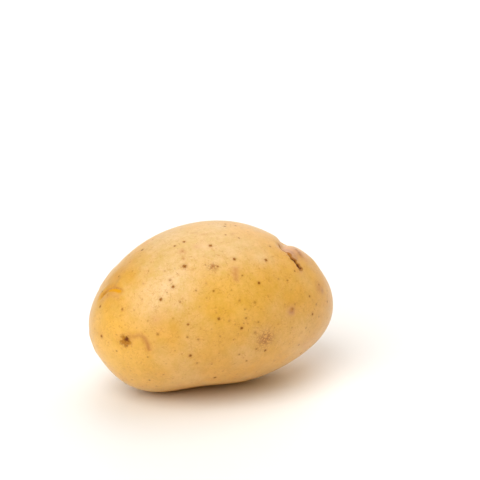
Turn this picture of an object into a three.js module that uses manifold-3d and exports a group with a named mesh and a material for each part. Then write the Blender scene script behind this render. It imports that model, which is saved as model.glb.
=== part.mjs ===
// A washed yellow potato, lying on the small flat spot under its belly: one solid, as it grew.
//
// Millimetres, +Z up. X runs along the potato: +X is the stem end, where it hung from its stolon, and
// -X is the rose end, where the eyes crowd together. The origin is on the floor, under the middle of
// the potato's box.
//
// Every place on the skin is given as on a globe, before the globe is stretched into the potato: bearing
// is the angle round the upright axis from +X towards +Y, and height is the angle above the equator, both
// in degrees.

import * as THREE from 'three';
import { mergeVertices } from 'three/addons/utils/BufferGeometryUtils.js';
import Module from 'manifold-3d';

const wasm = await Module();
wasm.setup();

// ---- driving dimensions ----

const LENGTH = 94; // end to end, along X
const WIDTH = 62; // front to back, along Y
const HEIGHT = 60; // floor to crown, along Z, before the lumps are added
const TAPER = -0.02; // share by which the stem end is slimmer than the middle
const DROOP = 3.2; // how far both ends hang below the middle
const BOW = 1.2; // how far both ends swing to the front
const REST_SPOT_DEPTH = 0.6; // how much of the underside the flat spot takes off

// The globe is an icosahedron with each edge cut into one more than this many steps.
const FACET_STEPS = 19;

// Broad swellings (rise above 0) and hollows (below 0) of the body: rise in mm, spread in degrees.
const LUMPS = [
  { name: 'heel under the rose end', bearing: 185, height: -56, spread: 24, rise: 3.6 },
  { name: 'waist in front of the seat', bearing: 243, height: -68, spread: 17, rise: -1.8 },
  { name: 'seat that it lies on', bearing: 0, height: -79, spread: 30, rise: 2 },
  { name: 'back of the belly', bearing: 95, height: -45, spread: 32, rise: 1.2 },
  { name: 'front of the belly', bearing: 275, height: -40, spread: 26, rise: 0.4 },
  { name: 'front cheek of the stem end', bearing: 335, height: -15, spread: 24, rise: 0.7 },
  { name: 'sloping top of the stem end', bearing: 20, height: 37, spread: 24, rise: -2.1 },
  { name: 'brow of the stem end', bearing: 330, height: 48, spread: 22, rise: -0.5 },
  { name: 'sloping top of the rose end', bearing: 158, height: 33, spread: 26, rise: -1.3 },
  { name: 'back shoulder', bearing: 50, height: 55, spread: 26, rise: 0.7 },
  { name: 'flat of the back', bearing: 120, height: -5, spread: 30, rise: -0.9 },
];

// Eyes: a crease with a brow along one side of it. The crease runs at the angle turn, counted from east
// towards the crown, and the brow lies to its left. How long, wide and deep the crease is, and how high
// the brow is, are in mm.
const EYES = [
  { name: 'slit eye', bearing: 322, height: 42, turn: 236, long: 11, wide: 4.4, deep: 1.6, brow: 0.9 },
  { name: 'nose eye', bearing: 213, height: 1, turn: 262, long: 6, wide: 5, deep: 0.8, brow: 0 },
  { name: 'nose brow', bearing: 224, height: 0, turn: 258, long: 9, wide: 4.4, deep: 0.4, brow: 0.4 },
  { name: 'corner eye', bearing: 188, height: 29, turn: 28, long: 11, wide: 4.4, deep: 0.8, brow: -0.3 },
  { name: 'sunken scab', bearing: 283, height: -10, turn: 0, long: 8, wide: 6, deep: 0.25, brow: 0 },
  { name: 'front eye', bearing: 297, height: 8, turn: 290, long: 5, wide: 4.4, deep: 0.35, brow: 0.1 },
  { name: 'stem scar', bearing: 3, height: -3, turn: 90, long: 7, wide: 7, deep: 1.4, brow: 0 },
  { name: 'stem eye', bearing: 33, height: 14, turn: 250, long: 9, wide: 4.4, deep: 0.8, brow: 0.5 },
  { name: 'shoulder eye', bearing: 72, height: 36, turn: 262, long: 10, wide: 4.6, deep: 1, brow: 0.6 },
  { name: 'back eye', bearing: 108, height: -4, turn: 275, long: 10, wide: 4.6, deep: 1, brow: 0.6 },
  { name: 'rose eye', bearing: 146, height: 22, turn: 285, long: 9, wide: 4.4, deep: 0.9, brow: 0.5 },
  { name: 'under eye', bearing: 62, height: -50, turn: 255, long: 9, wide: 4.4, deep: 0.8, brow: 0.4 },
  { name: 'rear eye', bearing: 171, height: -14, turn: 280, long: 8, wide: 4.4, deep: 0.8, brow: 0.4 },
];

// ---- the shape ----

const up = new THREE.Vector3(0, 0, 1);

// The point of the unit globe at a bearing and height.
function onGlobe({ bearing, height }) {
  const b = THREE.MathUtils.degToRad(bearing);
  const h = THREE.MathUtils.degToRad(height);
  return new THREE.Vector3(Math.cos(h) * Math.cos(b), Math.cos(h) * Math.sin(b), Math.sin(h));
}

for (const lump of LUMPS) {
  lump.centre = onGlobe(lump);
  lump.falloff = 1 - Math.cos(THREE.MathUtils.degToRad(lump.spread));
}

// The body without its eyes: the globe stretched to length, width and height, tapered and bent, with its
// lumps.
function bodyPoint(direction) {
  const along = direction.x;
  const girth = 1 + TAPER * along;
  const point = new THREE.Vector3(
    (LENGTH / 2) * along,
    (WIDTH / 2) * direction.y * girth - BOW * along * along,
    (HEIGHT / 2) * direction.z * girth - DROOP * along * along,
  );
  for (const { centre, falloff, rise } of LUMPS) {
    point.addScaledVector(direction, rise * Math.exp((direction.dot(centre) - 1) / falloff));
  }
  return point;
}

// Where each eye sits on the body, with the directions along its crease, towards its brow and out of the
// skin.
for (const eye of EYES) {
  const out = onGlobe(eye);
  const east = new THREE.Vector3().crossVectors(up, out).normalize();
  const north = new THREE.Vector3().crossVectors(out, east);
  const turn = THREE.MathUtils.degToRad(eye.turn);
  eye.place = bodyPoint(out);
  eye.along = east.clone().multiplyScalar(Math.cos(turn)).addScaledVector(north, Math.sin(turn));
  eye.across = new THREE.Vector3().crossVectors(out, eye.along);
  eye.out = out;
}

// How far an eye lifts the skin at a point of the body: a dish along its crease and a ridge beside it.
function eyeLift(eye, point) {
  const from = point.clone().sub(eye.place);
  const s = from.dot(eye.along) / (eye.long / 2);
  const t = from.dot(eye.across) / (eye.wide / 2);
  const off = from.dot(eye.out) / eye.long;
  const dish = Math.exp(-(s * s + t * t + off * off));
  const ridge = Math.exp(-(s * s + (t - 1.5) * (t - 1.5) + off * off));
  return eye.brow * ridge - eye.deep * dish;
}

function skinPoint(direction) {
  const point = bodyPoint(direction);
  const lift = EYES.reduce((sum, eye) => sum + eyeLift(eye, point), 0);
  return point.addScaledVector(direction, lift);
}

// The unit globe with its shared vertices merged, each moved out to the skin.
function wholePotato() {
  const geometry = new THREE.IcosahedronGeometry(1, FACET_STEPS);
  geometry.deleteAttribute('normal');
  geometry.deleteAttribute('uv');
  const merged = mergeVertices(geometry, 1e-5);
  const position = merged.getAttribute('position');
  const direction = new THREE.Vector3();
  for (let i = 0; i < position.count; i++) {
    direction.fromBufferAttribute(position, i).normalize();
    position.setXYZ(i, ...skinPoint(direction));
  }
  merged.computeBoundingBox();
  return merged;
}

// ---- the flat spot that it lies on ----

function solidOf(geometry) {
  return new wasm.Manifold(
    new wasm.Mesh({
      numProp: 3,
      vertProperties: new Float32Array(geometry.getAttribute('position').array),
      triVerts: new Uint32Array(geometry.index.array),
    }),
  );
}

function geometryOf(solid) {
  const { vertProperties, triVerts } = solid.getMesh();
  const geometry = new THREE.BufferGeometry();
  geometry.setAttribute('position', new THREE.BufferAttribute(vertProperties, 3));
  geometry.setIndex(new THREE.BufferAttribute(triVerts, 1));
  geometry.computeVertexNormals();
  return geometry;
}

// Everything below the level, as a box that is wider than the potato.
function belowLevel(box, level) {
  const margin = 10;
  const size = box.getSize(new THREE.Vector3()).addScalar(2 * margin);
  const block = new THREE.BoxGeometry(size.x, size.y, margin);
  block.translate(0, 0, level - margin / 2);
  block.deleteAttribute('normal');
  block.deleteAttribute('uv');
  return mergeVertices(block);
}

const whole = wholePotato();
const floorLevel = whole.boundingBox.min.z + REST_SPOT_DEPTH;
const ground = belowLevel(whole.boundingBox, floorLevel);
const geometry = geometryOf(solidOf(whole).subtract(solidOf(ground)));

geometry.computeBoundingBox();
const middle = geometry.boundingBox.getCenter(new THREE.Vector3());
geometry.translate(-middle.x, -middle.y, -floorLevel);

const skin = new THREE.MeshStandardMaterial({ color: 0xe2b266, roughness: 0.5, metalness: 0 });
const potato = new THREE.Mesh(geometry, skin);
potato.name = 'potato';

const group = new THREE.Group();
group.add(potato);

export default group;
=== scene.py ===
"""A washed yellow potato lying on the small flat spot under its belly, in soft studio light.

The skin is one closed surface. It starts as a globe made of six square grids, is stretched, bent and
lumped into the potato's body, and then gets its eyes, creases and scars. What differs over the skin, such
as its pores, bark and stains, is worked out once per vertex, kept in named attributes, and drawn by the
skin's material.

Every place on the skin is a bearing and a height in degrees, as on a globe: the bearing turns from +X, the
stem end, towards +Y, the back, and the height rises from the equator to the crown. Shapes are in mm until
the mesh is made, in metres.
"""

import math

import bpy
import numpy as np
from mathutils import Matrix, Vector


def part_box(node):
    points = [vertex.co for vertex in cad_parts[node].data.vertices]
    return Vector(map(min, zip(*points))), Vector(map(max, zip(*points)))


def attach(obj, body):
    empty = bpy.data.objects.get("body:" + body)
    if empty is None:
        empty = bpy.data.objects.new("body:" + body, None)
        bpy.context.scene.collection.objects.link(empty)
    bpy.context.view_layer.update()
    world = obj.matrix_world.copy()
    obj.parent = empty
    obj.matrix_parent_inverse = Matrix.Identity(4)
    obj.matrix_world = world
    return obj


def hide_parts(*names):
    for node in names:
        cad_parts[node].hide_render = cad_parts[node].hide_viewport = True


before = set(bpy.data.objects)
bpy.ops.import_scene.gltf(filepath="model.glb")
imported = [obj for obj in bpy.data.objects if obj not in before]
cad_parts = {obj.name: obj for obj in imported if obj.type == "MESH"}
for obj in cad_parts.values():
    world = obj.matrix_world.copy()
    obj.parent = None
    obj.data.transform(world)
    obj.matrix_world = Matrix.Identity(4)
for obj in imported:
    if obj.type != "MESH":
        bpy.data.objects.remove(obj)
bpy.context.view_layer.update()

MM = 0.001
NODE = "potato"
BODY = "root"

# --------------------------------------------------------------------------------------------------
# The body: the same form as the CAD solid
# --------------------------------------------------------------------------------------------------

LENGTH = 94.0
WIDTH = 62.0
HEIGHT = 60.0
TAPER = -0.02
DROOP = 3.2
BOW = 1.2
REST_SPOT_DEPTH = 0.6
REST_EDGE = 0.12  # how softly the skin turns into the rest spot

# Broad swellings (rise above 0) and hollows (below 0): bearing, height, spread in degrees and rise.
LUMPS = [
    (185, -56, 24, 3.6),  # heel under the rose end
    (243, -68, 17, -1.8),  # waist in front of the seat
    (0, -79, 30, 2.0),  # seat that it lies on
    (95, -45, 32, 1.2),  # back of the belly
    (275, -40, 26, 0.4),  # front of the belly
    (335, -15, 24, 0.7),  # front cheek of the stem end
    (20, 37, 24, -2.1),  # sloping top of the stem end
    (330, 48, 22, -0.5),  # brow of the stem end
    (158, 33, 26, -1.3),  # sloping top of the rose end
    (50, 55, 26, 0.7),  # back shoulder
    (120, -5, 30, -0.9),  # flat of the back
]


def on_globe(bearing, height):
    """Unit vectors of places on the globe: (cos height cos bearing, cos height sin bearing, sin height)."""
    b, h = np.radians(bearing), np.radians(height)
    return np.stack([np.cos(h) * np.cos(b), np.cos(h) * np.sin(b), np.sin(h)], -1)


def place_of(direction):
    """The bearing and height of a direction."""
    x, y, z = direction
    return math.degrees(math.atan2(y, x)), math.degrees(math.atan2(z, math.hypot(x, y)))


def bell(directions, centre, spread):
    """A bell on the globe: 1 at the centre, and 1/e where the angle from it is the spread in degrees."""
    return np.exp((directions @ centre - 1) / (1 - math.cos(math.radians(spread))))


def body_at(directions):
    """The body's surface: the globe's x, y and z times the half length, width and height, with the girth
    tapered along x, and with y and z bent by x squared; then each lump's rise times its bell, along the
    direction."""
    x, y, z = np.moveaxis(directions, -1, 0)
    girth = 1 + TAPER * x
    points = np.stack(
        [
            LENGTH / 2 * x,
            WIDTH / 2 * y * girth - BOW * x**2,
            HEIGHT / 2 * z * girth - DROOP * x**2,
        ],
        -1,
    )
    for bearing, height, spread, rise in LUMPS:
        swell = rise * bell(directions, on_globe(bearing, height), spread)
        points = points + swell[..., None] * directions
    return points


# --------------------------------------------------------------------------------------------------
# The globe that the skin is stretched from
# --------------------------------------------------------------------------------------------------

GRID_STEPS = 128  # squares along each side of each of the six grids

# Where the grid's lines are gathered, to give eyes and scars a finer mesh: bearing, height, spread, pull.
GATHERED = [
    (321, 42, 11, 0.9),
    (217, 0, 12, 0.8),
    (188, 29, 11, 0.7),
]


def globe():
    """Directions (n, 3) and squares (m, 4) of a closed globe: six square grids whose steps are equal
    angles, as (1, tan u, tan v) and its turns, scaled to length 1, with the vertices that grids share
    merged."""
    t = np.tan(np.linspace(-1, 1, GRID_STEPS + 1) * math.pi / 4)
    u, v = np.meshgrid(t, t, indexing="ij")
    one = np.ones_like(u)
    sides = [(one, u, v), (-one, -u, v), (-u, one, v), (u, -one, v), (-v, u, one), (v, u, -one)]
    grids = np.stack([np.stack(side, -1) for side in sides]).reshape(-1, 3)
    grids /= np.linalg.norm(grids, axis=1, keepdims=True)
    corner = np.arange(u.size).reshape(u.shape)
    square = np.stack([corner[:-1, :-1], corner[1:, :-1], corner[1:, 1:], corner[:-1, 1:]], -1)
    square = square.reshape(-1, 4)
    squares = np.concatenate([square + side * u.size for side in range(len(sides))])
    _, first, merged = np.unique(grids.round(6), axis=0, return_index=True, return_inverse=True)
    return grids[first], merged.reshape(-1)[squares]


def gather(directions):
    """Pulls directions towards the gathered places: each adds its place times its pull and bell, then all
    are scaled back to length 1."""
    pulled = directions.copy()
    for bearing, height, spread, pull in GATHERED:
        place = on_globe(bearing, height)
        pulled += (pull * bell(directions, place, spread))[:, None] * place
    return pulled / np.linalg.norm(pulled, axis=1, keepdims=True)


# --------------------------------------------------------------------------------------------------
# Lines and spots on the skin, measured from every vertex
# --------------------------------------------------------------------------------------------------

PATH_STEPS = 48
REACH = 16.0  # mm past a line's ends that its marks can reach
FAR = 99.0  # mm, for vertices too far from a line to matter


def through(knots, at):
    """A smooth curve through the knots (Catmull-Rom), at each parameter counted in knots."""
    padded = np.concatenate([2 * knots[:1] - knots[1:2], knots, 2 * knots[-1:] - knots[-2:-1]])
    i = np.clip(at.astype(int), 0, len(knots) - 2)
    f = (at - i)[:, None]
    a, b, c, d = (padded[i + k] for k in range(4))
    return 0.5 * (2 * b + (c - a) * f + (2 * a - 5 * b + 4 * c - d) * f**2 + (3 * b - a - 3 * c + d) * f**3)


def ridge(value, width):
    """A bell across a line: exp(-(value / width) squared)."""
    return np.exp(-((value / width) ** 2))


class Line:
    """A smooth line on the body through places on the globe.

    For each vertex, away is its distance from the line in mm, side is its distance to the line's left
    (negative to the right), and along goes from 0 at the line's start to 1 at its end, and past them."""

    def __init__(self, places, points):
        at = np.linspace(0, len(places) - 1, PATH_STEPS + 1)
        line = through(on_globe(*np.array(places, float).T), at)
        line = body_at(line / np.linalg.norm(line, axis=1, keepdims=True))
        reached = np.concatenate([[0], np.cumsum(np.linalg.norm(np.diff(line, axis=0), axis=1))])
        self.length = reached[-1]
        ahead = np.gradient(line, axis=0)
        ahead /= np.linalg.norm(ahead, axis=1, keepdims=True)
        left = np.cross(line / np.linalg.norm(line, axis=1, keepdims=True), ahead)
        near = np.linalg.norm(points - line[PATH_STEPS // 2], axis=1) < self.length / 2 + REACH
        apart = points[near][:, None] - line[None]
        distance = np.linalg.norm(apart, axis=2)
        k = distance.argmin(1)
        gap = apart[np.arange(len(k)), k]
        self.away = np.full(len(points), FAR)
        self.side = np.full(len(points), FAR)
        self.along = np.full(len(points), FAR)
        self.away[near] = distance.min(1)
        self.side[near] = np.einsum("ij,ij->i", gap, left[k])
        self.along[near] = (reached[k] + np.einsum("ij,ij->i", gap, ahead[k])) / self.length

    def within(self, soft):
        """1 beside the line, falling off as a bell over soft mm past both of its ends."""
        past = np.maximum(np.maximum(-self.along, self.along - 1), 0) * self.length
        return ridge(past, soft)

    def swell(self, peak=0.5):
        """0 at the line's ends and 1 at its peak, as along^p (1 - along)^q scaled to 1."""
        t = np.clip(self.along, 0, 1)
        p, q = peak, 1 - peak
        return (t**p * (1 - t) ** q) / (p**p * q**q)


# --------------------------------------------------------------------------------------------------
# The skin's marks. Each function adds to the lift of the skin in mm, and to the stains that the material
# draws
# --------------------------------------------------------------------------------------------------

STAINS = ["bark", "gash", "blush_and_shade", "mauve", "amber", "rust_and_shade", "scab", "straw_and_highlight", "gold_and_painted_light"]


def compass(out):
    """Unit vectors to the east and north of a place on the globe."""
    east = np.cross([0, 0, 1], out)
    east /= np.linalg.norm(east)
    return east, np.cross(out, east)


def splash(points, bearing, height, radius, turn=0.0):
    """A bell with a ragged edge: its radius swings with the angle round its middle, as
    1 + 0.16 cos(3a + turn) + 0.12 cos(5a + 2 turn) + 0.1 cos(9a + 3 turn)."""
    out = on_globe(bearing, height)
    east, north = compass(out)
    gap = points - body_at(out[None])
    a = np.arctan2(gap @ north, gap @ east)
    swing = 1 + 0.16 * np.cos(3 * a + turn) + 0.12 * np.cos(5 * a + 2 * turn)
    swing += 0.1 * np.cos(9 * a + 3 * turn)
    return ridge(np.linalg.norm(gap, axis=1), radius * swing)


def slit_eye(points, lift, stain):
    """The long slit eye at the brow of the stem end: a sharp jagged furrow that widens and darkens
    downwards, and on its far side a mauve lobe that stands out over a notch in the brow."""
    slit = Line([(329, 51), (325, 47), (321, 42), (320, 38), (318, 34)], points)
    along = np.clip(slit.along, 0, 1)
    side = slit.side + 0.2 * np.sin(17 * along) + 0.12 * np.sin(37 * along + 1)
    furrow = slit.within(0.8) * slit.swell(0.7)
    lift -= 1.1 * ridge(side, 0.65) * furrow
    lift += 0.28 * ridge(side + 1.3, 0.9) * slit.within(1.5)
    lobe = Line([(340, 44), (352, 38), (353, 33)], points)
    lift += 0.8 * ridge(lobe.away, 4.6)
    notch = Line([(331, 51), (345, 51), (0, 49.5), (10, 47)], points)
    lift -= 1.6 * ridge(notch.away, 2.4)
    ragged = 1 + 0.35 * np.sin(29 * along + 2) * np.sin(11 * along)
    stain["gash"] += 0.95 * ridge(side, (0.4 + 0.75 * along) * ragged) * slit.within(0.4) * slit.swell(0.78)
    stain["bark"] += 1.0 * ridge(side - 0.15, 1.5 * ragged) * slit.within(0.6)
    stain["rust_and_shade"] += 0.35 * ridge(side + 1.2, 0.8) * slit.within(1.0)
    mauve = Line([(334, 49), (330, 45.5), (326, 43)], points)
    stain["blush_and_shade"] += 0.8 * ridge(mauve.away, 2.6)
    stain["mauve"] += 0.95 * ridge(mauve.away, 1.5)
    patch = Line([(340, 45.5), (335, 42)], points)
    stain["mauve"] += 1.0 * ridge(patch.away, 1.6)
    stain["bark"] += 0.5 * ridge(patch.away, 0.9)
    stain["rust_and_shade"] += 0.5 * ridge(patch.away, 1.8)
    pink = Line([(343, 48), (338, 39)], points)
    stain["blush_and_shade"] += 0.6 * ridge(pink.away, 3.4)
    toe = Line([(318, 34.5), (316.5, 33.5)], points)
    stain["bark"] += 0.45 * ridge(toe.away, 0.8)
    stain["blush_and_shade"] += 0.6 * ridge(toe.away, 1.9)
    flecks = Line([(336, 54), (330, 50.5)], points)
    stain["bark"] += 0.8 * ridge(flecks.away, 0.75)


def nose_eye(points, lift, stain):
    """The nose eye: a bud of torn bark in a shallow ring on a pale mound, and a brow bent round it."""
    bud = Line([(213.5, 1), (211.5, -1)], points)
    pit = Line([(213.6, 1.4), (213, 1)], points)
    lift += 0.5 * ridge(bud.away, 5.5) - 0.75 * ridge(bud.away, 2.3) + 0.35 * ridge(bud.away, 0.9)
    lift -= 0.4 * ridge(pit.away, 0.6)
    stain["bark"] += 1.0 * splash(points, 212.4, 0, 2.5, 0.6)
    stain["gash"] += 0.8 * splash(points, 213.2, 1.1, 1.2, 2.0)
    stain["rust_and_shade"] += 0.5 * ridge(bud.away, 2.6)
    brow = Line([(216, 3), (220, 4), (223, 3), (225, -1), (226, -7)], points)
    lift -= 0.3 * ridge(brow.side, 0.9) * brow.within(1.2) * brow.swell(0.8)
    lift += 0.25 * ridge(brow.side - 1.8, 1.5) * brow.within(1.6) * brow.swell(0.8)
    stain["rust_and_shade"] += 0.5 * ridge(brow.side, 1.3) * brow.within(1.0)
    stain["mauve"] += 0.6 * ridge(brow.side, 0.6) * brow.within(0.7) * brow.swell(0.9)
    stain["rust_and_shade"] += 0.6 * ridge(brow.side, 0.6) * brow.within(0.5) * brow.swell(0.85)


def corner_eye(points, lift, stain):
    """The corner eye at the top of the rose end: a short hooked crease with an amber floor."""
    crease = Line([(179, 23), (181, 27), (185, 30), (192, 32), (198, 32)], points)
    floor = Line([(185, 28.8), (190, 30.4), (196, 30.8)], points)
    lift -= 0.45 * ridge(crease.side + 0.5, 0.9) * crease.within(1.5)
    lift += 0.25 * ridge(crease.side - 1.6, 1.6) * crease.within(2.0)
    stain["rust_and_shade"] += 0.8 * ridge(crease.side, 0.6) * crease.within(0.8)
    stain["bark"] += 0.5 * ridge(crease.side, 0.4) * crease.within(0.5)
    stain["amber"] += 1.0 * ridge(floor.away, 0.5 + 0.25 * np.clip(floor.along, 0, 1))
    stain["amber"] += 0.25 * ridge(crease.side + 0.9, 0.7) * crease.within(0.6)
    stain["blush_and_shade"] += 0.5 * ridge(crease.side + 2.6, 1.2) * crease.within(1.0)
    smudge = Line([(186, 38), (189, 33)], points)
    stain["mauve"] += 0.45 * ridge(smudge.away, 0.8)
    # painted shade: a mauve tint above the crease, towards the upper edge of the rose end
    shade = Line([(176, 47), (180, 38), (181, 32)], points)
    stain["blush_and_shade"] += 0.3 * ridge(shade.away, 3.2)


# Eyes on the sides that face away: bearing, height, turn of the brow from east towards the crown, length
# in mm.
FAR_EYES = [
    (33, 14, 250, 9),
    (72, 36, 262, 10),
    (108, -4, 275, 10),
    (146, 22, 285, 9),
    (62, -50, 255, 9),
    (171, -14, 280, 8),
]


def far_eye(points, lift, stain, bearing, height, turn, length):
    """An eye as most are: a bud in a dish, under a brow bent round it, as the parabola
    left = 0.16 (1 - 2.2 t^2) of its length, for t from -1 to 1 along it."""
    out = on_globe(bearing, height)
    east, north = compass(out)
    heading = math.radians(turn)
    ahead = math.cos(heading) * east + math.sin(heading) * north
    left = np.cross(out, ahead)
    reach = length / np.linalg.norm(body_at(out[None])[0])
    bends = np.linspace(-1, 1, 5)
    arc = [out + reach * (0.5 * t * ahead + 0.16 * (1 - 2.2 * t * t) * left) for t in bends]
    places = [place_of(direction) for direction in arc]
    brow = Line(places, points)
    bud = Line([(bearing, height), (bearing + 0.5, height)], points)
    lift -= 0.55 * ridge(bud.away, 3.2)
    lift += 0.25 * ridge(bud.away, 0.9)
    lift -= 0.4 * ridge(brow.side, 0.9) * brow.within(1.2) * brow.swell()
    lift += 0.45 * ridge(brow.side - 1.9, 1.6) * brow.within(1.8) * brow.swell()
    stain["rust_and_shade"] += 0.55 * ridge(brow.side, 0.7) * brow.within(0.8) * brow.swell()
    stain["bark"] += 0.8 * ridge(bud.away, 1.1)
    stain["gash"] += 0.35 * ridge(bud.away, 0.5)
    stain["blush_and_shade"] += 0.35 * ridge(bud.away, 3.0)


def stem_scar(points, lift, stain):
    """The scar where the potato hung from its stolon: a round pit of bark round a torn stub."""
    scar = Line([(3, -3), (3.5, -3)], points)
    lift -= 1.3 * ridge(scar.away, 3.0)
    lift += 0.7 * ridge(scar.away, 1.1)
    lift += 0.25 * ridge(scar.away - 4.2, 1.2)
    stain["bark"] += 1.0 * ridge(scar.away, 2.4)
    stain["gash"] += 0.7 * ridge(scar.away - 1.2, 0.5)
    stain["rust_and_shade"] += 0.4 * ridge(scar.away, 4.0)


# Flat stains, some of them painted light and shade: kind, bearing, height, radius in mm, amount.
SPOTS = [
    ("straw_and_highlight", 250, 66, 24, 1.1),  # pale crown: painted highlight where the light from above shines on the top
    ("straw_and_highlight", 225, 30, 11, 0.35),
    ("straw_and_highlight", 222, 16, 8, 0.45),
    ("straw_and_highlight", 208, -46, 9, 0.35),
    # paler lower front: partly paler tone, partly a painted reflection of the white floor
    ("straw_and_highlight", 318, -20, 12, 0.3),
    ("gold_and_painted_light", 198, -18, 19, 0.95),  # golden tone at the rose end, made brighter as painted light where the low side light falls
    ("gold_and_painted_light", 262, 18, 15, 0.5),
    ("gold_and_painted_light", 269, 30, 11, 0.35),
    ("gold_and_painted_light", 300, 4, 13, 0.5),
    ("rust_and_shade", 177, 25, 12, 0.12),  # dusky corner of the rose end
    ("rust_and_shade", 268, 25, 9, 0.05),  # and duller patches on the front
    ("rust_and_shade", 297, 7, 7, 0.14),
    # painted shade: the front of the underside made darker towards the floor
    ("rust_and_shade", 266, -50, 12, 0.16),
    ("rust_and_shade", 282, -8, 2.8, 0.4),  # scab on the front of the belly
    ("scab", 282, -8, 3.3, 1.1),
    ("rust_and_shade", 257, 48, 1.3, 0.4),  # small scab under the crown
    ("scab", 257, 48, 1.7, 1.1),
    ("blush_and_shade", 297, 8, 1.9, 0.9),  # pimple
    ("mauve", 297, 7.5, 1.1, 0.6),
    ("rust_and_shade", 297.5, 9.5, 1.0, 0.95),
    ("bark", 298, 9.5, 0.7, 0.7),
    ("blush_and_shade", 272, 45, 1.5, 0.55),  # rosy flecks under the crown
    ("blush_and_shade", 271, 41, 1.5, 0.65),
    ("blush_and_shade", 271, 37, 1.3, 0.5),
    ("rust_and_shade", 272, 44, 0.8, 0.8),
    ("rust_and_shade", 271, 41, 0.7, 0.8),
    ("rust_and_shade", 270.5, 37.5, 0.6, 0.7),
    ("bark", 272, 45, 0.5, 0.5),
    ("blush_and_shade", 240, 66, 1.5, 0.6),
    ("blush_and_shade", 226, 62, 1.2, 0.6),
    ("rust_and_shade", 226, 61, 0.7, 0.45),
    ("rust_and_shade", 233, 56, 0.6, 0.4),
    ("blush_and_shade", 229, 15, 2.2, 0.4),
    ("rust_and_shade", 324, 18, 2.2, 0.8),  # smear near the stem end
    ("mauve", 326, 15, 1.2, 0.8),
    ("bark", 325, 19.5, 0.6, 0.6),
    ("bark", 322, 20, 0.5, 0.55),
    ("blush_and_shade", 324, 18, 3.2, 0.3),
    ("rust_and_shade", 193, 0, 2.0, 0.35),  # by the nose
    ("blush_and_shade", 312, -22, 4.0, 0.25),
]


# Short dark scratches near the crown: the places of their two ends.
SCRATCHES = [
    ((232, 78), (248, 79)),
    ((294, 74), (303, 75)),
    ((204, 79), (214, 80)),
    ((226, 64), (229, 61)),
    ((231, 58), (234, 55)),
]


def scratches(points, stain):
    """Thin marks of bark with a rusty edge."""
    for start, end in SCRATCHES:
        scratch = Line([start, end], points)
        stain["rust_and_shade"] += 0.6 * ridge(scratch.away, 0.6)
        stain["bark"] += 0.45 * ridge(scratch.away, 0.45)


def stains_and_lift(points):
    """What every mark together adds: the lift in mm, and each stain's amount."""
    lift = np.zeros(len(points))
    stain = {name: np.zeros(len(points)) for name in STAINS}
    slit_eye(points, lift, stain)
    nose_eye(points, lift, stain)
    corner_eye(points, lift, stain)
    for eye in FAR_EYES:
        far_eye(points, lift, stain, *eye)
    stem_scar(points, lift, stain)
    scratches(points, stain)
    for kind, bearing, height, radius, amount in SPOTS:
        place = body_at(on_globe(bearing, height)[None])
        stain[kind] += amount * ridge(np.linalg.norm(points - place, axis=1), radius)
    pimple = np.linalg.norm(points - body_at(on_globe(297, 8)[None]), axis=1)
    lift += 0.25 * ridge(pimple, 0.8) - 0.25 * ridge(pimple, 2.2)
    return lift, stain


# --------------------------------------------------------------------------------------------------
# Pores
# --------------------------------------------------------------------------------------------------

# The pores that stand out most on the front: bearing, height, width in mm.
FRONT_PORES = [
    (237, 50, 1.2),
    (256, 66, 0.95),
    (218, 70, 0.8),
    (274, 52, 0.9),
    (297, 47, 0.95),
    (234, 36, 0.85),
    (229, 28, 0.9),
    (283, 32, 0.8),
    (270, 3, 0.75),
    (311, 2, 0.7),
    (246, -13, 0.85),
    (258, -39, 0.9),
    (283, -18, 0.7),
    (194, 0, 0.85),
    (185, 18, 0.75),
    (172, 56, 0.85),
]

PORE_TRIES = 900
PORE_GAP = 4.2  # the least distance between two pores, mm
PORE_SEED = 7


def pores():
    """Places (n, 3) on the body in mm, widths and darkness: the front ones, then seeded ones that keep
    their distance and are darker the wider they are."""
    rng = np.random.default_rng(PORE_SEED)
    bearings, heights, widths = (list(column) for column in zip(*FRONT_PORES))
    places = list(body_at(on_globe(bearings, heights)))
    darkness = [1.0] * len(places)
    tries = rng.normal(size=(PORE_TRIES, 3))
    tries = body_at(tries / np.linalg.norm(tries, axis=1, keepdims=True))
    sizes = 0.32 + 0.62 * rng.beta(1.4, 2.8, PORE_TRIES)
    gaps = PORE_GAP * rng.uniform(0.6, 1.9, PORE_TRIES)
    shades = np.clip(1.2 * (sizes - 0.35) + rng.uniform(-0.1, 0.35, PORE_TRIES), 0.1, 0.8)
    for place, size, gap, shade in zip(tries, sizes, gaps, shades):
        if np.linalg.norm(np.array(places) - place, axis=1).min() > gap:
            places.append(place)
            widths.append(size)
            darkness.append(shade)
    return np.array(places), np.array(widths), np.array(darkness)


def pore_offsets(points):
    """For each vertex, its offset from the nearest pore's centre, counted in that pore's half widths, and
    how dark that pore is."""
    places, widths, darkness = pores()
    nearest = np.zeros(len(points), int)
    least = np.full(len(points), np.inf)
    for k, place in enumerate(places):
        distance = np.linalg.norm(points - place, axis=1)
        closer = distance < least
        least[closer] = distance[closer]
        nearest[closer] = k
    return (points - places[nearest]) / (widths[nearest] / 2)[:, None], darkness[nearest]


# --------------------------------------------------------------------------------------------------
# The skin's mesh
# --------------------------------------------------------------------------------------------------


def on_the_floor(points):
    """Flattens the rest spot and moves the potato to its place in the CAD frame, in mm. The skin turns into
    the spot as half of (over + sqrt(over^2 + edge^2)), where over is its height over the spot."""
    floor = points[:, 2].min() + REST_SPOT_DEPTH
    over = points[:, 2] - floor
    points[:, 2] = floor + (over + np.sqrt(over**2 + REST_EDGE**2)) / 2
    low, high = points.min(0), points.max(0)
    box_low, box_high = (np.array(corner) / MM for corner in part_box(NODE))
    middle = (box_low + box_high - low - high) / 2
    shift = np.array([middle[0], middle[1], box_low[2] - low[2]])
    return points + shift, shift


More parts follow.
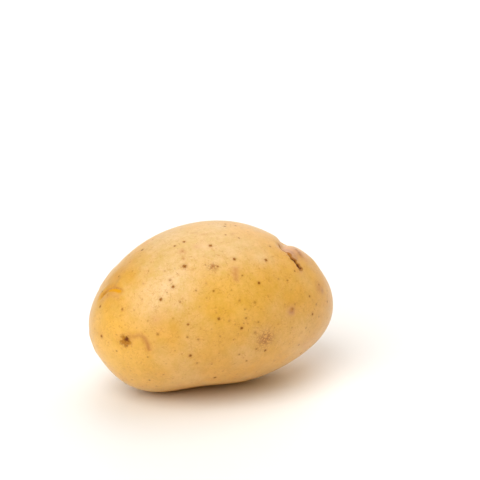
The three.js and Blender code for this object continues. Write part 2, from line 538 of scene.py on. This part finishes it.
def skin_mesh():
    """The skin's mesh: the gathered globe, stretched to the body, lifted by its marks along each direction,
    and set on the floor. Also returns how far the body moved into the CAD frame."""
    directions, squares = globe()
    directions = gather(directions)
    points = body_at(directions)
    lift, stain = stains_and_lift(points)
    offsets, darkness = pore_offsets(points)
    stain["pore_dark"] = darkness
    points, shift = on_the_floor(points + lift[:, None] * directions)

    mesh = bpy.data.meshes.new("potato_skin")
    mesh.from_pydata(points * MM, [], squares)
    mesh.shade_smooth()
    for name in stain:
        values = np.clip(stain[name], 0, 1.2).astype(np.float32)
        mesh.attributes.new(name, "FLOAT", "POINT").data.foreach_set("value", values)
    pore = mesh.attributes.new("pore", "FLOAT_VECTOR", "POINT")
    pore.data.foreach_set("vector", offsets.astype(np.float32).ravel())
    skin = bpy.data.objects.new("potato_skin", mesh)
    bpy.context.scene.collection.objects.link(skin)
    return skin, shift


# --------------------------------------------------------------------------------------------------
# The skin's material
# --------------------------------------------------------------------------------------------------

# The straw, gold, rust and blush colours also paint light and shade: a painted highlight on the crown,
# painted light on the rose end, painted shade under the front and above the corner eye.
HONEY = (0.69, 0.362, 0.040)
STRAW_AND_HIGHLIGHT = (0.69, 0.446, 0.152)
GOLD_AND_PAINTED_LIGHT = (0.79, 0.442, 0.050)
AMBER = (0.74, 0.33, 0.004)
RUST_AND_SHADE = (0.52, 0.20, 0.012)
BLUSH_AND_SHADE = (0.64, 0.30, 0.130)
MAUVE = (0.40, 0.175, 0.075)
BARK = (0.39, 0.138, 0.004)
GASH = (0.145, 0.030, 0.0)
PORE = (0.27, 0.085, 0.0)


class Nodes:
    """Short names for the shader nodes that the skin's material is made of."""

    def __init__(self, material):
        material.use_nodes = True
        self.tree = material.node_tree
        self.shader = self.tree.nodes["Principled BSDF"]
        self.place = self.tree.nodes.new("ShaderNodeTexCoord").outputs["Object"]

    def set(self, socket, value):
        """Links the value if it is another node's output, and else sets it."""
        if isinstance(value, bpy.types.NodeSocket):
            self.tree.links.new(value, socket)
        elif isinstance(value, tuple) and len(value) == 3 and socket.type == "RGBA":
            socket.default_value = (*value, 1)
        else:
            socket.default_value = value

    def math(self, operation, a, b=0.0, clamp=False):
        node = self.tree.nodes.new("ShaderNodeMath")
        node.operation = operation
        node.use_clamp = clamp
        self.set(node.inputs[0], a)
        self.set(node.inputs[1], b)
        return node.outputs[0]

    def noise(self, size, detail=2.0, roughness=0.5, distortion=0.0, place=None):
        """Noise from 0 to 1 whose patches are about size mm wide."""
        node = self.tree.nodes.new("ShaderNodeTexNoise")
        self.set(node.inputs["Vector"], place or self.place)
        node.inputs["Scale"].default_value = 1 / (size * MM)
        node.inputs["Detail"].default_value = detail
        node.inputs["Roughness"].default_value = roughness
        node.inputs["Distortion"].default_value = distortion
        return node.outputs["Fac"]

    def cells(self, size, feature="DISTANCE_TO_EDGE", place=None):
        """Distance inside cells about size mm wide."""
        node = self.tree.nodes.new("ShaderNodeTexVoronoi")
        node.feature = feature
        self.set(node.inputs["Vector"], place or self.place)
        node.inputs["Scale"].default_value = 1 / (size * MM)
        return node.outputs["Distance"]

    def step(self, value, low, high, to_low=0.0, to_high=1.0):
        """Smoothly from to_low where value is low, to to_high where it is high."""
        node = self.tree.nodes.new("ShaderNodeMapRange")
        node.interpolation_type = "SMOOTHSTEP"
        self.set(node.inputs["Value"], value)
        for name, number in zip(("From Min", "From Max", "To Min", "To Max"), (low, high, to_low, to_high)):
            node.inputs[name].default_value = number
        return node.outputs["Result"]

    def blend(self, amount, a, b, kind="MIX"):
        node = self.tree.nodes.new("ShaderNodeMix")
        node.data_type = "RGBA"
        node.blend_type = kind
        node.clamp_factor = True
        self.set(node.inputs["Factor"], amount)
        self.set(node.inputs[6], a)
        self.set(node.inputs[7], b)
        return node.outputs[2]

    def attribute(self, name, output="Fac"):
        node = self.tree.nodes.new("ShaderNodeAttribute")
        node.attribute_name = name
        return node.outputs[output]

    def length(self, vector):
        node = self.tree.nodes.new("ShaderNodeVectorMath")
        node.operation = "LENGTH"
        self.set(node.inputs[0], vector)
        return node.outputs["Value"]

    def warped(self, size, amount):
        """The place, moved by up to about amount mm by noise whose patches are size mm wide."""
        node = self.tree.nodes.new("ShaderNodeTexNoise")
        self.set(node.inputs["Vector"], self.place)
        node.inputs["Scale"].default_value = 1 / (size * MM)
        centred = self.tree.nodes.new("ShaderNodeVectorMath")
        centred.operation = "SUBTRACT"
        self.set(centred.inputs[0], node.outputs["Color"])
        centred.inputs[1].default_value = (0.5, 0.5, 0.5)
        moved = self.tree.nodes.new("ShaderNodeVectorMath")
        moved.operation = "MULTIPLY_ADD"
        self.set(moved.inputs[0], centred.outputs[0])
        moved.inputs[1].default_value = (4 * amount * MM,) * 3
        self.set(moved.inputs[2], self.place)
        return moved.outputs[0]


def torn(n, stain, grain, give=0.5):
    """A stain with an edge broken up by grain: where stain plus give times the grain's swing passes a
    half."""
    swing = n.math("MULTIPLY", n.math("SUBTRACT", grain, 0.5), 2 * give)
    return n.step(n.math("ADD", stain, swing), 0.3, 0.75)


def skin_material():
    """Thin waxy skin: golden flesh showing through in soft patches, faint hairs and specks, pores, and bark
    at the eyes. Some stains also paint light and shade: a painted highlight on the crown, painted light on
    the rose end, and painted shade on the front of the underside and above the corner eye."""
    material = bpy.data.materials.new("potato_skin")
    n = Nodes(material)

    broad = n.noise(14, detail=2)
    fine = n.noise(5.5, detail=4, roughness=0.95)
    grain = n.noise(0.9, detail=3, roughness=0.65)
    dust = n.noise(0.45, detail=2, roughness=0.6)
    wandering = n.noise(1.4, detail=1.5, distortion=0.6)
    hairs = n.step(n.math("ABSOLUTE", n.math("SUBTRACT", wandering, 0.5)), 0.045, 0.0)
    hairs = n.math("MULTIPLY", hairs, n.step(n.noise(3.2, detail=1), 0.38, 0.58))

    # the straw tone: paler patches that differ at random, plus the painted highlight on the crown and lower
    # front
    straw_and_highlight = n.math("ADD", n.attribute("straw_and_highlight"), n.step(broad, 0.3, 0.75, -0.25, 0.5))
    colour = n.blend(straw_and_highlight, HONEY, STRAW_AND_HIGHLIGHT)
    # golden patches, and painted light that brightens the rose end
    colour = n.blend(n.attribute("gold_and_painted_light"), colour, GOLD_AND_PAINTED_LIGHT)
    deep = n.blend(1.0, colour, (0.925, 0.90, 0.64), "MULTIPLY")
    pale = n.blend(1.0, colour, (1.09, 1.115, 1.50), "MULTIPLY")
    colour = n.blend(n.step(fine, 0.25, 0.75), deep, pale)
    specks = n.step(n.noise(1.25, detail=0.5), 0.70, 0.78)
    colour = n.blend(n.math("MULTIPLY", specks, 0.4), colour, RUST_AND_SHADE)
    colour = n.blend(n.math("MULTIPLY", hairs, 0.42), colour, RUST_AND_SHADE)

    # blush and rust are stains, and also carry painted shade under the front and above the corner eye
    for name, least, tint in (("blush_and_shade", 0.45, BLUSH_AND_SHADE), ("mauve", 0.5, MAUVE), ("rust_and_shade", 0.4, RUST_AND_SHADE)):
        amount = n.math("MULTIPLY", n.attribute(name), n.step(grain, 0.2, 0.8, least, 1.0))
        colour = n.blend(amount, colour, tint)
    colour = n.blend(n.attribute("amber"), colour, AMBER)

    # the scab is cracked into small scales with dark seams
    seams = n.step(n.cells(1.3, place=n.warped(1.6, 0.4)), 0.22, 0.05)
    seams = n.math("MULTIPLY", seams, n.math("MULTIPLY", n.attribute("scab"), n.step(grain, 0.3, 0.5)))
    colour = n.blend(n.math("MULTIPLY", seams, 0.95), colour, BARK)

    # pores: a dark core and a faint halo, both wobbly
    dark = n.attribute("pore_dark")
    reach = n.math("ADD", n.length(n.attribute("pore", "Vector")), n.step(dust, 0.2, 0.8, -0.45, 0.45))
    halo = n.math("MULTIPLY", n.step(reach, 3.8, 0.8, 0, 0.4), n.step(dark, 0, 1, 0.5, 0.9))
    core = n.math("MULTIPLY", n.step(reach, 1.9, 0.5), n.step(dark, 0, 1, 0.2, 0.97))
    colour = n.blend(halo, colour, RUST_AND_SHADE)
    colour = n.blend(core, colour, PORE)

    bark = torn(n, n.attribute("bark"), grain, 0.45)
    gash = torn(n, n.attribute("gash"), dust, 0.3)
    colour = n.blend(n.math("MULTIPLY", bark, n.step(dust, 0.25, 0.7, 1.0, 0.55)), colour, BARK)
    colour = n.blend(gash, colour, GASH)
    n.set(n.shader.inputs["Base Color"], colour)

    rough = n.math("ADD", n.step(fine, 0.35, 0.65, 0.38, 0.48), n.step(grain, 0.3, 0.7, -0.05, 0.05))
    rough = n.math("MAXIMUM", rough, n.math("MULTIPLY", n.math("MAXIMUM", bark, core), 0.85))
    n.set(n.shader.inputs["Roughness"], rough)
    bare = n.math("MAXIMUM", n.math("MAXIMUM", bark, gash), n.math("MAXIMUM", core, n.attribute("amber")))
    n.set(n.shader.inputs["Coat Weight"], n.step(bare, 0.1, 0.8, 0.6, 0.0))

    # heights in mm
    height = n.math("MULTIPLY", n.noise(2.4, detail=3, roughness=0.6), 0.10)
    height = n.math("ADD", height, n.math("MULTIPLY", grain, 0.03))
    height = n.math("SUBTRACT", height, n.math("MULTIPLY", hairs, 0.015))
    height = n.math("SUBTRACT", height, n.math("MULTIPLY", core, 0.06))
    height = n.math("SUBTRACT", height, n.math("MULTIPLY", seams, 0.08))
    height = n.math("ADD", height, n.math("MULTIPLY", n.math("MULTIPLY", bark, dust), 0.35))
    bump = n.tree.nodes.new("ShaderNodeBump")
    bump.inputs["Distance"].default_value = MM
    n.set(bump.inputs["Height"], height)
    n.set(n.shader.inputs["Normal"], bump.outputs["Normal"])

    n.shader.inputs["IOR"].default_value = 1.5
    n.shader.inputs["Specular IOR Level"].default_value = 0.3
    n.shader.inputs["Coat Roughness"].default_value = 0.38
    n.shader.inputs["Coat IOR"].default_value = 1.5
    n.shader.inputs["Sheen Weight"].default_value = 0.13
    n.shader.inputs["Sheen Roughness"].default_value = 0.45
    n.shader.inputs["Sheen Tint"].default_value = (1.0, 0.91, 0.80, 1)
    n.shader.inputs["Subsurface Weight"].default_value = 0.20
    n.shader.inputs["Subsurface Radius"].default_value = (1.0, 0.5, 0.12)
    n.shader.inputs["Subsurface Scale"].default_value = 3.5 * MM
    return material


skin, shift = skin_mesh()
skin.data.materials.append(skin_material())
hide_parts(NODE)
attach(skin, BODY)

# --------------------------------------------------------------------------------------------------
# Floor, light and camera
# --------------------------------------------------------------------------------------------------

FLOOR_HALF = 12.0  # metres


def floor_sheet():
    """A square of pale floor, much wider than the picture."""
    mesh = bpy.data.meshes.new("floor")
    f = FLOOR_HALF
    mesh.from_pydata([(-f, -f, 0), (f, -f, 0), (f, f, 0), (-f, f, 0)], [], [(0, 1, 2, 3)])
    floor = bpy.data.objects.new("floor", mesh)
    bpy.context.scene.collection.objects.link(floor)
    material = bpy.data.materials.new("floor")
    material.use_nodes = True
    shader = material.node_tree.nodes["Principled BSDF"]
    shader.inputs["Base Color"].default_value = (0.9, 0.9, 0.9, 1)
    shader.inputs["Roughness"].default_value = 0.6
    mesh.materials.append(material)
    return floor


floor_sheet()

VIEW_BEARING = 22  # degrees that the stem end is turned away from the camera
VIEW_HEIGHT = 20  # degrees that the camera looks down
VIEW_DISTANCE = 900.0
PICTURE_WIDTH = 177.8  # what the picture's width spans at the potato
AIM_RIGHT = 11.0  # how far right of the body's middle the camera aims
AIM_UP = 23.3  # and how far above it
SENSOR = 36.0
NEAREST = 0.01  # metres
FURTHEST = 100


def camera_at():
    """The camera aims beside and above the body's middle, from the viewing bearing, height and distance."""
    b, h = math.radians(VIEW_BEARING), math.radians(VIEW_HEIGHT)
    back = Vector((-math.sin(b) * math.cos(h), -math.cos(b) * math.cos(h), math.sin(h)))
    right = Vector((math.cos(b), -math.sin(b), 0))
    up = back.cross(right)
    aim = Vector(shift) + AIM_RIGHT * right + AIM_UP * up
    data = bpy.data.cameras.new("camera")
    data.sensor_width = SENSOR
    data.lens = SENSOR * VIEW_DISTANCE / PICTURE_WIDTH
    data.clip_start = NEAREST
    data.clip_end = FURTHEST
    camera = bpy.data.objects.new("camera", data)
    camera.location = (aim + VIEW_DISTANCE * back) * MM
    camera.rotation_mode = "QUATERNION"
    camera.rotation_quaternion = back.to_track_quat("Z", "Y")
    bpy.context.scene.collection.objects.link(camera)
    bpy.context.scene.camera = camera
    return camera


camera_at()


def sun(name, bearing, height, strength, spread, colour):
    """A light so far away that it shines evenly from the bearing and height, soft over the spread."""
    data = bpy.data.lights.new(name, "SUN")
    data.energy = strength
    data.angle = math.radians(spread)
    data.color = colour
    light = bpy.data.objects.new(name, data)
    direction = Vector(on_globe(bearing, height))
    light.rotation_mode = "QUATERNION"
    light.rotation_quaternion = direction.to_track_quat("Z", "Y")
    light.location = direction
    bpy.context.scene.collection.objects.link(light)
    return light


# Wide soft lights: name, bearing, height, strength in W/m2, colour.
LIGHTS = [
    ("key", 215, 46, 2.13, (0.97, 1.00, 1.00)),
    ("top", 248, 90, 0.48, (0.98, 1.00, 1.00)),
    ("front top", 222, 66, 0.48, (0.98, 1.00, 1.00)),
    ("over", 17, 66, 0.65, (0.84, 0.88, 1.00)),
    ("back", 58, 46, 0.66, (1.00, 0.88, 0.74)),
    ("side", 4, 26, 0.66, (1.00, 0.79, 0.42)),
    ("rose", 184, 13, 0.68, (1.00, 0.75, 0.43)),
    ("front", 285, 15, 0.34, (1.00, 0.50, 0.12)),
    ("rim", 66, 12, 0.66, (1.00, 0.94, 0.92)),
]
LIGHT_SPREAD = 55  # degrees across

for name, bearing, height, strength, colour in LIGHTS:
    sun(name, bearing, height, strength, LIGHT_SPREAD, colour)


def white_backdrop():
    """A white world that only the camera sees: it gives the scene no light."""
    world = bpy.data.worlds.new("studio")
    world.use_nodes = True
    backdrop = world.node_tree.nodes["Background"]
    backdrop.inputs["Color"].default_value = (1, 1, 1, 1)
    rays = world.node_tree.nodes.new("ShaderNodeLightPath")
    world.node_tree.links.new(rays.outputs["Is Camera Ray"], backdrop.inputs["Strength"])
    bpy.context.scene.world = world


white_backdrop()
bpy.context.scene.view_settings.view_transform = "Standard"
